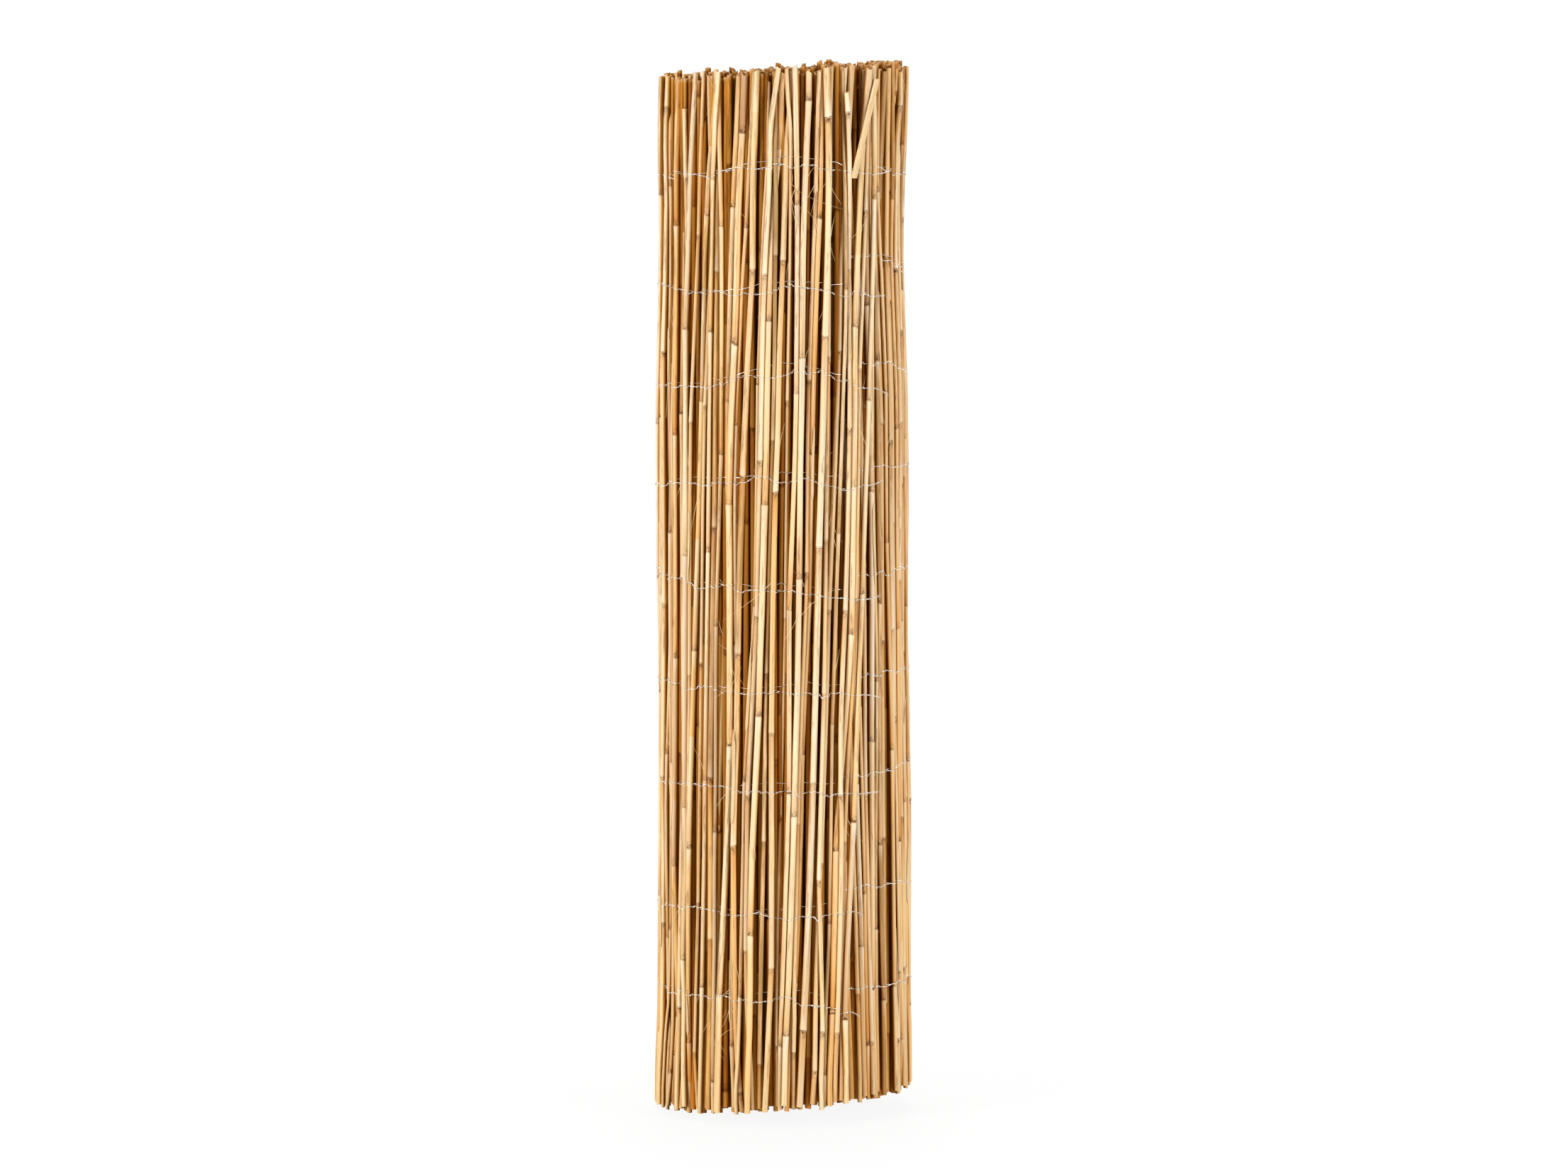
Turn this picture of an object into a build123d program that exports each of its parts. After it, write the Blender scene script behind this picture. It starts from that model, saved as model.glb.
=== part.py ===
from build123d import *
import math
import os

# A roll of reed screening, standing on its end. The mat is a single layer of dry
# reeds, tied side by side by rows of thin galvanised wire, and rolled up from one
# side. Lengths are in millimetres and angles in degrees. The roll's own axis is
# vertical, and -Y is the side it is seen from.

# The mat
MAT_HEIGHT = 1000.0          # length that the reeds are cut to
MAT_LENGTH = 5000.0          # along the mat, unrolled
REED_THICKEST = 7.0
REED_THINNEST = 3.4
REED_TAPER = 0.5             # a reed's root end is this much thicker than its other end
REED_SIDES = 12              # a reed is drawn as a prism: it is never truly round
ROOT_DOWN_SHARE = 0.6        # reeds that stand root end down

# The roll
BORE_DIAMETER = 65.0         # open middle, across where the mat's inner end closes it most
TURN_SLACK = 0.7             # air left between one turn and the next
EDGE_AZIMUTH = 28.0          # foot of the mat's loose edge, to the right of the front
EDGE_LEAN = 14.0             # its top lies this much further to the right
EDGE_LIFT = 1.7              # the loose edge stands off the roll by this much
EDGE_LIFT_TURN = 60.0        # and lies snug again this many degrees round
FOOT_GAPS = (0.5, 1.9)       # closest and widest, between the feet of neighbouring reeds
TIP_GAPS = (0.7, 2.7)        # wider than at the feet: round the roll, the lean dies out and turns over
FOOT_SPREAD = 6.0            # the roll's foot is this much wider in radius than its top
FOOT_SLOPE = 19.5            # the mat slipped as it was rolled: its feet stand higher on one side
FOOT_SLOPE_AZIMUTH = 66.0    # and that side is this far to the right of the front
TIP_SLOPE = 17.3             # the tips rise to the right
FOOT_RAGGEDNESS = 8.0        # from the lowest to the highest of neighbouring reeds
TIP_RAGGEDNESS = 7.0
TURN_GROOVE_DEPTH = 25.0     # how deep the gap between the inner turns is cut at each end
INNER_CHORDS = 24            # straight lengths that one inner turn is drawn with
INNER_RIM = 1.1              # rim of the inner turns, outward from their reeds' axes
EDGE_CLEARANCE = 0.6         # last reed of the outer turn to the turns inside it

# The binding wires, numbered from the foot up
WIRE_DIAMETER = 0.7
WIRE_ROW_SPACING = 100.0
WIRE_LIFT = 20.0             # all rows lie this much above the middle of the mat
WIRE_CLEARANCE = 0.15        # wire to the thickest reed
REEDS_PER_CHORD = 3          # a wire is drawn straight across this many reeds

# How far each row strays from its even height, at these angles from the front.
# Left is negative. The last two columns are on the part that ends under the loose edge.
DRIFT_AZIMUTHS = (30.0, 0.0, -45.0, -90.0, -270.0, -305.0)
ROW_DRIFTS = (
    (-10.0, 3.0, 3.0, 3.0, 10.0, 9.0),
    (-14.0, -18.0, -13.0, -17.0, 2.0, 8.0),
    (0.0, 4.0, 7.0, 4.0, 25.0, 18.0),
    (-3.0, -2.0, 2.0, 4.0, 16.0, 13.0),
    (-13.0, -5.0, 3.0, 8.0, 17.0, 10.0),
    (-5.0, 3.0, 2.0, -7.0, 11.0, 13.0),
    (-8.0, 8.0, -7.0, -11.0, 2.0, 12.0),
    (-21.0, -15.0, -19.0, -12.0, 2.0, 16.0),
    (-8.0, 0.0, -9.0, -10.0, -8.0, -3.0),
)

# Steps that spread values evenly over their range, reed by reed
THICKNESS_STEP = 0.6180
FOOT_GAP_STEP = 0.7549
TIP_GAP_STEP = 0.5698
FOOT_STEP = 0.4450
TIP_STEP = 0.8191
ROOT_STEP = 0.3028

WIRE_ROWS = round(MAT_HEIGHT / WIRE_ROW_SPACING) - 1
WIRE_FIRST_ROW = WIRE_LIFT + (MAT_HEIGHT - WIRE_ROW_SPACING * (WIRE_ROWS - 1)) / 2
TURN_SPACING = REED_THICKEST + 2 * WIRE_DIAMETER + TURN_SLACK
INNERMOST_RADIUS = BORE_DIAMETER / 2 + REED_THICKEST / 2
ROLL_RADIUS = math.sqrt(INNERMOST_RADIUS**2 + TURN_SPACING * MAT_LENGTH / math.pi)
TURNS = (ROLL_RADIUS - INNERMOST_RADIUS) / TURN_SPACING
INNER_HEIGHT = MAT_HEIGHT + (FOOT_SLOPE + FOOT_RAGGEDNESS) / 2  # in the middle


def spread(index, step, low, high):
    """A value between low and high that differs from reed to reed without any order."""
    return low + (high - low) * ((index + 1) * step % 1.0)


def mat_radius(turned):
    """Radius of the reeds' axes, this many degrees round the roll from the loose edge."""
    lift = EDGE_LIFT * max(0, 1 - turned / EDGE_LIFT_TURN)
    return ROLL_RADIUS - TURN_SPACING * turned / 360 + lift


def mat_point(turned, outward, height):
    """A point beside the mat: degrees from its loose edge, distance out, and height."""
    azimuth = math.radians(EDGE_AZIMUTH - turned)
    radius = mat_radius(turned) + outward
    return Vector(radius * math.sin(azimuth), -radius * math.cos(azimuth), height)


def degrees_for(length, turned):
    """The angle that a length along the mat takes up at that place in the roll."""
    return math.degrees(length / mat_radius(turned))


def nearness(turned, azimuth):
    """How near a place in the mat is to a side of the roll: 1, or -1 on the far side."""
    return math.cos(math.radians(EDGE_AZIMUTH - turned - azimuth))


class OuterReed:
    """One reed of the outermost turn, set beside the one before it."""

    def __init__(self, index, before):
        mean_radius = spread(
            index, THICKNESS_STEP, REED_THINNEST / 2 + REED_TAPER / 4, REED_THICKEST / 2 - REED_TAPER / 4
        )
        root_down = spread(index, ROOT_STEP, 0, 1) < ROOT_DOWN_SHARE
        taper = REED_TAPER / 4 if root_down else -REED_TAPER / 4
        self.foot_radius = mean_radius + taper
        self.tip_radius = mean_radius - taper
        self.foot_turned = 0.0
        self.tip_turned = -EDGE_LEAN
        if before:
            foot_step = before.foot_radius + spread(index, FOOT_GAP_STEP, *FOOT_GAPS) + self.foot_radius
            tip_step = before.tip_radius + spread(index, TIP_GAP_STEP, *TIP_GAPS) + self.tip_radius
            self.foot_turned = before.foot_turned + degrees_for(foot_step, before.foot_turned)
            self.tip_turned = before.tip_turned + degrees_for(tip_step, before.tip_turned)
        self.foot_height = FOOT_SLOPE * (1 + nearness(self.foot_turned, FOOT_SLOPE_AZIMUTH)) / 2
        self.foot_height += spread(index, FOOT_STEP, 0, FOOT_RAGGEDNESS)
        self.tip_height = INNER_HEIGHT + TIP_SLOPE * nearness(self.tip_turned, 90) / 2
        self.tip_height += spread(index, TIP_STEP, -TIP_RAGGEDNESS / 2, TIP_RAGGEDNESS / 2)

    def ends(self, outward_at_foot=0.0, outward_at_tip=0.0):
        """The middles of the two cut ends, moved outward from the line of the mat."""
        foot = mat_point(self.foot_turned, FOOT_SPREAD / 2 + outward_at_foot, self.foot_height)
        tip = mat_point(self.tip_turned, -FOOT_SPREAD / 2 + outward_at_tip, self.tip_height)
        return foot, tip

    def solid(self):
        """The reed, lying against the wire inside it, however thin it is."""
        foot, tip = self.ends(self.foot_radius - REED_THICKEST / 2, self.tip_radius - REED_THICKEST / 2)
        along = (tip - foot).normalized()
        foot_face = Plane(origin=foot, z_dir=along) * RegularPolygon(self.foot_radius, REED_SIDES)
        tip_face = Plane(origin=tip, z_dir=along) * RegularPolygon(self.tip_radius, REED_SIDES)
        return loft([foot_face.face(), tip_face.face()], ruled=True)

    def turned_at(self, height):
        """Degrees round the roll from the loose edge, at a height."""
        share = height / MAT_HEIGHT
        return self.foot_turned + (self.tip_turned - self.foot_turned) * share

    def wire_point(self, row, outward, along=0.0):
        """A point of a wire beside this reed: outward from the mat, and on along it."""
        height = row_height(row, self.turned_at(WIRE_FIRST_ROW + row * WIRE_ROW_SPACING))
        foot, tip = self.ends()
        axis = foot + (tip - foot) * ((height - foot.Z) / (tip.Z - foot.Z))
        out = Vector(axis.X, axis.Y, 0).normalized()
        return axis + out * outward + Vector(out.Y, -out.X, 0) * along


def outer_turn():
    """The reeds that go round once, from the loose edge to where it covers the mat."""
    reeds = [OuterReed(0, None)]
    while True:
        added = OuterReed(len(reeds), reeds[-1])
        if added.foot_turned > 360 - degrees_for(REED_THICKEST, 360):
            return reeds
        reeds.append(added)


def spiral_face(start, end, outside, inside):
    """A flat band that follows the mat round the roll, between two distances from it."""
    chords = math.ceil((end - start) / 360 * INNER_CHORDS)
    stations = [start + (end - start) * i / chords for i in range(chords + 1)]
    outer = [mat_point(turned, outside, 0) for turned in stations]
    inner = [mat_point(turned, inside, 0) for turned in stations]
    return make_face(Polyline(*outer, *reversed(inner), close=True))


def one_turn(start, outward):
    """The area inside one turn of the mat, which ends with a step to where it began."""
    stations = [start + 360 * i / INNER_CHORDS for i in range(INNER_CHORDS + 1)]
    return make_face(Polyline(*[mat_point(turned, outward, 0) for turned in stations], close=True))


def inner_turns(start):
    """All the turns inside the outer one, as one solid. Its bore follows the innermost
    turn, the gap between its turns is cut into both ends, and its top rises to the right."""
    reed_edge = REED_THICKEST / 2
    highest = INNER_HEIGHT + TIP_SLOPE
    body = extrude(one_turn(start, INNER_RIM), highest)
    body -= extrude(one_turn(360 * TURNS - 360, -reed_edge), highest)
    # the gap lies just outside a turn, from below the rim's step to the mat's inner end
    gap_face = spiral_face(start + 360, 360 * TURNS, TURN_SPACING - reed_edge, reed_edge)
    body -= extrude(gap_face, TURN_GROOVE_DEPTH)
    body -= Pos(0, 0, INNER_HEIGHT - TURN_GROOVE_DEPTH) * extrude(gap_face, TURN_GROOVE_DEPTH + TIP_SLOPE)
    rise = math.degrees(math.atan(TIP_SLOPE / (2 * ROLL_RADIUS)))
    width = 4 * ROLL_RADIUS
    above = Box(width, width, 2 * TIP_SLOPE, align=(Align.CENTER, Align.CENTER, Align.MIN))
    return body - Pos(0, 0, INNER_HEIGHT) * Rot(0, -rise, 0) * above


def row_height(row, turned):
    """Height of a wire row at an angle round the roll, with its drift."""
    places = [EDGE_AZIMUTH - azimuth for azimuth in DRIFT_AZIMUTHS]
    drifts = ROW_DRIFTS[row % len(ROW_DRIFTS)]
    drift = drifts[0] if turned < places[0] else drifts[-1]
    for here, there, near, far in zip(places, places[1:], drifts, drifts[1:]):
        if here <= turned <= there:
            drift = near + (far - near) * (turned - here) / (there - here)
    return WIRE_FIRST_ROW + row * WIRE_ROW_SPACING + drift


def wire_along(points):
    """A wire of square section along straight runs between points, mitred at each."""
    runs = [(there - here).normalized() for here, there in zip(points, points[1:])]
    half = WIRE_DIAMETER / 2
    side = Vector(runs[0].Y, -runs[0].X, 0).normalized() * half
    up = Vector(0, 0, half)
    corners = [points[0] + side + up, points[0] - side + up, points[0] - side - up, points[0] + side - up]
    faces = [Face(Wire.make_polygon(corners))]
    for run, next_run, end in zip(runs, runs[1:] + runs[-1:], points[1:]):
        mitre = run + next_run
        cut = [corner + run * ((end - corner).dot(mitre) / run.dot(mitre)) for corner in corners]
        for a, b in ((0, 1), (1, 2), (2, 3), (3, 0)):
            faces.append(Face(Wire.make_polygon([corners[a], corners[b], cut[b], cut[a]])))
        corners = cut
    faces.append(Face(Wire.make_polygon(corners)))
    return Solid(Shell(faces))


def binding_wire(row, reeds):
    """One row of wire: inside the reeds to the loose edge, round it, and back outside."""
    seat = REED_THICKEST / 2 + WIRE_CLEARANCE + WIRE_DIAMETER / 2
    crossed = reeds[:-1:REEDS_PER_CHORD] + reeds[-1:]
    half_chord = REEDS_PER_CHORD * (REED_THICKEST + TIP_GAPS[1]) / 2
    bulge = half_chord**2 / (2 * ROLL_RADIUS)
    inside = [reed.wire_point(row, -seat) for reed in reversed(crossed)]
    round_edge = [reeds[0].wire_point(row, outward, -seat) for outward in (-seat, seat + bulge)]
    outside = [reed.wire_point(row, seat + bulge) for reed in crossed]
    return wire_along(inside + round_edge + outside)


reeds = outer_turn()
last_turned = max(reeds[-1].foot_turned, reeds[-1].tip_turned)
inner_start = last_turned + degrees_for(REED_THICKEST / 2 + EDGE_CLEARANCE, last_turned)
pieces = {
    "outer_turn_reeds": Compound([reed.solid() for reed in reeds]),
    "inner_turns": inner_turns(inner_start),
}
for row in range(WIRE_ROWS):
    pieces[f"binding_wire_{row + 1}"] = binding_wire(row, reeds)

# the origin is on the floor, in the middle of the roll's footprint
footprint = Compound(list(pieces.values())).bounding_box().center()
os.makedirs("parts", exist_ok=True)
for name, piece in pieces.items():
    export_step(Pos(-footprint.X, -footprint.Y, 0) * piece, f"parts/{name}.step")
print(len(reeds), "reeds in the outer turn,", round(TURNS, 2), "turns")
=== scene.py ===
import math
import bpy
import numpy as np
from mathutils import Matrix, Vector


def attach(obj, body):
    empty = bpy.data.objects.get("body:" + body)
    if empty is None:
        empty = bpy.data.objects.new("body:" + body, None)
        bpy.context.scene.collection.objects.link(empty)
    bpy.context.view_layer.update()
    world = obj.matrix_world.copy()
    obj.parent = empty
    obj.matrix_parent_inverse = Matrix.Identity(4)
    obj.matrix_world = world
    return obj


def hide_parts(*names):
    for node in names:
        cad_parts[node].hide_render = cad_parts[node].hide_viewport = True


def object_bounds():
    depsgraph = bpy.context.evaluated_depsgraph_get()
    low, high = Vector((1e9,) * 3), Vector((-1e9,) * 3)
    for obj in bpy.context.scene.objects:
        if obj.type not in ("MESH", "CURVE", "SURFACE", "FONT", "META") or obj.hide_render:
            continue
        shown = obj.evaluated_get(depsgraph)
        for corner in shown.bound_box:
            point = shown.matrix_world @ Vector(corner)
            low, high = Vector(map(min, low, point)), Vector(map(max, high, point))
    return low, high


# Reed screening roll: a mat of dry reeds, wired side by side, rolled up and standing on its end.
# Metres, +Z up, the front is -Y.

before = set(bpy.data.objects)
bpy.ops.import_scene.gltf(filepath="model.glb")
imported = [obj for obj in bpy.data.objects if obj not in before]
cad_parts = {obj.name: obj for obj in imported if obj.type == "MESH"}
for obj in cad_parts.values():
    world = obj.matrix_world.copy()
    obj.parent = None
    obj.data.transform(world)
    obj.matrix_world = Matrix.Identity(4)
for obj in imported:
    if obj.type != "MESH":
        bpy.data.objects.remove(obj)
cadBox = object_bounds()
scene = bpy.context.scene
scene.view_settings.view_transform = "Standard"
print("frame loaded")


def paint(hexColour):  # sRGB hex to linear
    parts = [int(hexColour[i:i + 2], 16) / 255 for i in (1, 3, 5)]
    return [p / 12.92 if p <= 0.04045 else ((p + 0.055) / 1.055) ** 2.4 for p in parts] + [1.0]


def addNode(tree, kind, inputs=(), output=0, **settings):
    # inputs are a list in order or a dictionary, each a value, a hex colour or another node's output
    node = tree.nodes.new("ShaderNode" + kind)
    for name, value in settings.items():
        setattr(node, name, value)
    for name, value in inputs.items() if isinstance(inputs, dict) else enumerate(inputs):
        if isinstance(value, bpy.types.NodeSocket):
            tree.links.new(value, node.inputs[name])
        else:
            node.inputs[name].default_value = paint(value) if isinstance(value, str) else value
    return node.outputs[output] if node.outputs else node


def makeMaterial(name, addShader):  # addShader adds the nodes and returns the last one's output
    material = bpy.data.materials.new(name)
    material.use_nodes = True
    tree = material.node_tree
    tree.nodes.clear()
    addNode(tree, "OutputMaterial", [addShader(tree)])
    return material


def setRamp(node, stops):
    ramp = node.color_ramp
    while len(ramp.elements) < len(stops):
        ramp.elements.new(0.5)
    for element, (place, colour) in zip(ramp.elements, stops):
        element.position = place
        element.color = paint(colour)


def selectOnly(piece):
    bpy.ops.object.select_all(action="DESELECT")
    piece.select_set(True)
    bpy.context.view_layer.objects.active = piece


def joinAll(pieces, name):
    selectOnly(pieces[0])
    for piece in pieces:
        piece.select_set(True)
    bpy.ops.object.join()
    joined = bpy.context.view_layer.objects.active
    joined.name = name
    joined.data.name = name
    return joined


def linkObject(name, data):
    piece = bpy.data.objects.new(name, data)
    scene.collection.objects.link(piece)
    return piece


def newCurve(name, thickness):
    curve = bpy.data.curves.new(name, "CURVE")
    curve.dimensions = "3D"
    curve.bevel_depth = thickness
    curve.bevel_resolution = 0
    curve.use_fill_caps = True
    return curve


def meshFromCurve(curve, name, material):
    piece = linkObject(name, curve)
    selectOnly(piece)
    bpy.ops.object.convert(target="MESH")
    piece.data.materials.append(material)
    bpy.ops.object.shade_smooth()
    return piece


def readPoints(mesh):
    points = np.empty(len(mesh.vertices) * 3)
    mesh.vertices.foreach_get("co", points)
    return points.reshape(-1, 3)


def shapedCopy(master, name, points):  # an object whose mesh is a copy of the master's, in another shape
    mesh = master.data.copy()
    mesh.name = name
    mesh.vertices.foreach_set("co", points.astype(np.float32).ravel())
    mesh.update()
    return linkObject(name, mesh)


def valuesAlong(where, stations, course):  # points of a course, or directions along it
    return np.array([np.interp(where, stations, course[:, k]) for k in range(3)]).T


def lengthsAlong(course):
    return np.concatenate([[0], np.cumsum(np.linalg.norm(np.diff(course, axis=0), axis=1))])


def unit(vectors):
    return vectors / np.linalg.norm(vectors, axis=-1, keepdims=True)


def risen(values, low, high):  # 0 below low, 1 above high
    return np.clip((values - low) / (high - low), 0, 1)


def rightOf(direction):  # to the right along the mat, for one who looks at it from outside
    return np.stack([direction[..., 1], -direction[..., 0], np.zeros_like(direction[..., 0])], axis=-1)


up = np.array([0, 0, 1.0])


# Camera

camera = dict(
    distance=5.4,  # from the roll's axis
    height=0.922,
    across=0.0010,
    lens=127.0,  # on a 36 mm sensor
    pitch=4.35,  # degrees down
)
bpy.ops.object.camera_add(location=(camera["across"], -camera["distance"], camera["height"]))
cameraObject = bpy.context.object
cameraObject.rotation_euler = (math.radians(90 - camera["pitch"]), 0, 0)
cameraObject.data.lens = camera["lens"]
cameraObject.data.sensor_width = 36
cameraObject.data.clip_end = 60
scene.camera = cameraObject


# Materials

reedPaint = dict(
    skin=[(0.0, "#EADABE"), (0.3, "#EBD6AF"), (0.55, "#EDD09D"), (0.8, "#EBC07A"), (1.0, "#DAA454")],
    fresh="#EFDAB2",
    sheath="#D3B795",
    foot="#FFF9E8",
    band="#DDB070",
    weathered="#9A763C",
    smudge="#8A6334",
    fleck="#7C5228",
    mottle="#5C3C22",
    aboveJoint="#D9AE6E",
    cream="#EEDFC4",
    rain="#F3EADF",
    groove="#54331A",
    paintedShadeRamp=[(0.0, "#FFFFFF"), (0.5, "#DCA850"), (1.0, "#7E4E20")],
    hollow="#B88A4E",
    strip=[(0.25, "#B89468"), (0.5, "#DDBD8C"), (0.75, "#F0D9AE")],
    fibre=[(0.2, "#D9B477"), (0.8, "#F6E3BC")],
    zinc=[(0.3, "#C9C5BD"), (0.7, "#F2EFEA")],
)
# waves a metre across and along the reed, detail and roughness of each noise
reedPatterns = dict(
    fibre=(2000, 25, 3.0, 0.6),  # streaks 0.5 mm wide and 40 mm long
    band=(420, 5, 1.0, 0.6),  # broad bands 2 mm wide and 200 mm long
    patch=(330, 16, 4.0, 0.6),  # 3 mm wide and 60 mm long
    smudge=(900, 60, 3.0, 0.6),  # 1 mm wide and 15 mm long
    smudged=(300, 14, 1.0, 0.6),  # stretches of 70 mm that have smudges
    fleck=(900, 260, 2.0, 0.6),  # 1 mm wide and 4 mm long
    speck=(480, 330, 4.0, 0.62),  # 2 mm wide and 3 mm long
    rain=(200, 12, 3.0, 0.6),  # 5 mm wide and 80 mm long
)


def makePattern(tree, space, across, along, detail, roughness):  # noise drawn out along the reed
    spread = addNode(tree, "Mapping", {"Vector": space, "Scale": (across, across, along)})
    inputs = {"Vector": spread, "Scale": 1.0, "Detail": detail, "Roughness": roughness}
    return addNode(tree, "TexNoise", inputs, output="Fac")


def shareOf(tree, *shares):  # a product; a share in brackets fades between its last two values
    total = None
    for share in shares:
        if isinstance(share, tuple):
            share = addNode(tree, "MapRange", share, interpolation_type="SMOOTHSTEP")
        total = share if total is None else addNode(tree, "Math", [total, share], operation="MULTIPLY")
    return total


def layOver(tree, colour, name, *shares, blend="MIX"):  # a colour of reedPaint, or a socket, over another
    layer = reedPaint[name] if isinstance(name, str) else name
    inputs = {0: shareOf(tree, *shares), 6: colour, 7: layer}
    return addNode(tree, "Mix", inputs, output=2, data_type="RGBA", blend_type=blend)


def addReedSkin(tree):
    # sun-dried reed cane: a hard, faintly waxy skin with fine fibres along it
    space = addNode(tree, "Attribute", output="Vector", attribute_name="reedSpace")
    fibre, band, patch, smudge, smudged, fleck, speck, rain = (
        makePattern(tree, space, *waves) for waves in reedPatterns.values()
    )
    tone, above, below, cover, grey, force, inside, sheath, paintedShade = (
        addNode(tree, "Attribute", output="Fac", attribute_name=name) for name in (
            "tone", "nodeAbove", "nodeBelow", "cover", "grey", "jointForce", "inside", "sheath", "paintedShade",
        )
    )
    height = addNode(tree, "SeparateXYZ", [addNode(tree, "TexCoord", output="Object")], output="Z")

    # skin colour of each length between joints, from pale straw to amber
    colour = addNode(tree, "ValToRGB", [tone])
    setRamp(colour.node, reedPaint["skin"])
    # under the leaf sheath that came away lately the skin is paler, with a straight edge
    uncovered = addNode(tree, "Math", [cover, 0.0], operation="GREATER_THAN")
    colour = layOver(tree, colour, "fresh", uncovered, 0.75)
    # where the sheath is still on: pinkish grey brown, dull
    colour = layOver(tree, colour, "sheath", sheath)
    # towards the foot the reeds are yellower
    colour = layOver(tree, colour, "foot", (height, 0.0, 0.35, 1.0, 0.0), blend="MULTIPLY")

    # fine fibres make lighter and darker streaks
    streak = addNode(tree, "MapRange", [fibre, 0.3, 0.7, 0.88, 1.06])
    colour = addNode(tree, "VectorMath", {0: colour, "Scale": streak}, operation="SCALE")
    # broad bands, darker and lighter along the reed
    colour = layOver(tree, colour, "band", (band, 0.48, 0.72, 0.0, 0.55), blend="MULTIPLY")
    # weathered patches, grey brown, more of them towards the top
    patch = addNode(tree, "Math", [patch, shareOf(tree, grey, 0.30)], operation="ADD")
    higher = shareOf(tree, (height, 0.70, 0.95, 0.0, 0.07))
    patch = addNode(tree, "Math", [patch, higher], operation="ADD")
    colour = layOver(tree, colour, "weathered", (patch, 0.62, 0.95, 0.0, 0.8))
    # small smudges, on a few stretches
    higher = shareOf(tree, (height, 0.70, 0.95, 0.0, 0.035))
    smudge = addNode(tree, "Math", [shareOf(tree, smudge, smudged), higher], operation="ADD")
    colour = layOver(tree, colour, "smudge", (smudge, 0.31, 0.43, 0.0, 0.6))
    # small dark flecks
    colour = layOver(tree, colour, "fleck", (fleck, 0.70, 0.78, 0.0, 0.5))

    # joints: brown mottling on one side of the ring, a cream shoulder on the other, a dark groove
    mottle = shareOf(tree, (above, 0.0, 10.0, 1.0, 0.0), (speck, 0.41, 0.58, 0.0, 1.0), force)
    colour = layOver(tree, colour, "mottle", mottle)
    colour = layOver(tree, colour, "aboveJoint", (above, 5.0, 60.0, 0.4, 0.0), blend="MULTIPLY")
    colour = layOver(tree, colour, "cream", (below, 0.5, 22.0, 0.55, 0.0), force)
    # the top decimetre stands in the weather: browner, more so on some reeds
    higher = shareOf(tree, (height, 0.86, 1.02, 0.0, 0.42))
    rain = addNode(tree, "Math", [rain, higher], operation="ADD")
    colour = layOver(tree, colour, "rain", (rain, 0.84, 1.05, 0.0, 0.45), blend="MULTIPLY")
    nearest = addNode(tree, "Math", [above, below], operation="MINIMUM")
    stronger = addNode(tree, "Math", [force, 0.15], operation="ADD")
    groove = shareOf(tree, (nearest, 0.25, 1.4, 0.95, 0.0), stronger, (speck, 0.36, 0.58, 0.25, 1.0))
    colour = layOver(tree, colour, "groove", groove)

    # painted shade darkens flanks facing away from outward, deeper reeds and the inner turns; the hollow of a
    # cut end is brown
    paintedShadeRamp = addNode(tree, "ValToRGB", [paintedShade])
    setRamp(paintedShadeRamp.node, reedPaint["paintedShadeRamp"])
    colour = layOver(tree, colour, paintedShadeRamp, 1.0, blend="MULTIPLY")
    colour = layOver(tree, colour, "hollow", inside)

    return addNode(tree, "BsdfPrincipled", {
        "Base Color": colour,
        "IOR": 1.45,
        "Roughness": shareOf(tree, (sheath, 0.0, 1.0, 0.50, 0.75)),
        # less specular reflection where the shade is painted
        "Specular IOR Level": shareOf(tree, (paintedShade, 0.0, 1.0, 0.24, 0.02)),
        "Normal": addNode(tree, "Bump", {"Strength": 0.35, "Distance": 0.0003, "Height": fibre}),
    })


def addLeaf(tree):
    # dry leaf sheath: papery, with coarse fibres along it and stains, torn at its edges
    space = addNode(tree, "Attribute", output="Vector", attribute_name="reedSpace")
    fibre = makePattern(tree, space, 1600, 30, 3.0, 0.6)
    stain = makePattern(tree, space, 250, 40, 3.0, 0.6)
    colour = addNode(tree, "ValToRGB", [fibre])
    setRamp(colour.node, reedPaint["strip"])
    colour = layOver(tree, colour, "weathered", (stain, 0.55, 0.80, 0.0, 0.7))
    return addNode(tree, "BsdfPrincipled", {
        "Base Color": colour,
        "Roughness": 0.72,
        "Specular IOR Level": 0.25,
        "Normal": addNode(tree, "Bump", {"Strength": 0.6, "Distance": 0.0004, "Height": fibre}),
    })


def addFibre(tree):
    # loose plant fibres, bleached, lighter and darker from one to the next
    place = addNode(tree, "TexCoord", output="Object")
    colour = addNode(tree, "ValToRGB", [makePattern(tree, place, 60, 60, 1.0, 0.6)])
    setRamp(colour.node, reedPaint["fibre"])
    return addNode(tree, "BsdfPrincipled", {
        "Base Color": colour, "Roughness": 0.6, "Specular IOR Level": 0.3,
    })


def addZinc(tree):
    # galvanised steel wire, drawn and hot dipped: bright, slightly clouded zinc
    place = addNode(tree, "TexCoord", output="Object")
    cloud = addNode(tree, "TexNoise", {"Vector": place, "Scale": 600.0, "Detail": 2.0}, output="Fac")
    colour = addNode(tree, "ValToRGB", [cloud])
    setRamp(colour.node, reedPaint["zinc"])
    return addNode(tree, "BsdfPrincipled", {"Base Color": colour, "Roughness": 0.30, "Metallic": 1.0})


reedMaterial = makeMaterial("sunDriedReed", addReedSkin)
wireMaterial = makeMaterial("galvanisedWire", addZinc)
stripMaterial = makeMaterial("dryLeafSheath", addLeaf)
fibreMaterial = makeMaterial("looseFibre", addFibre)
print("materials made")


# The outer turn: where each reed stands comes from the frame

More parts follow.
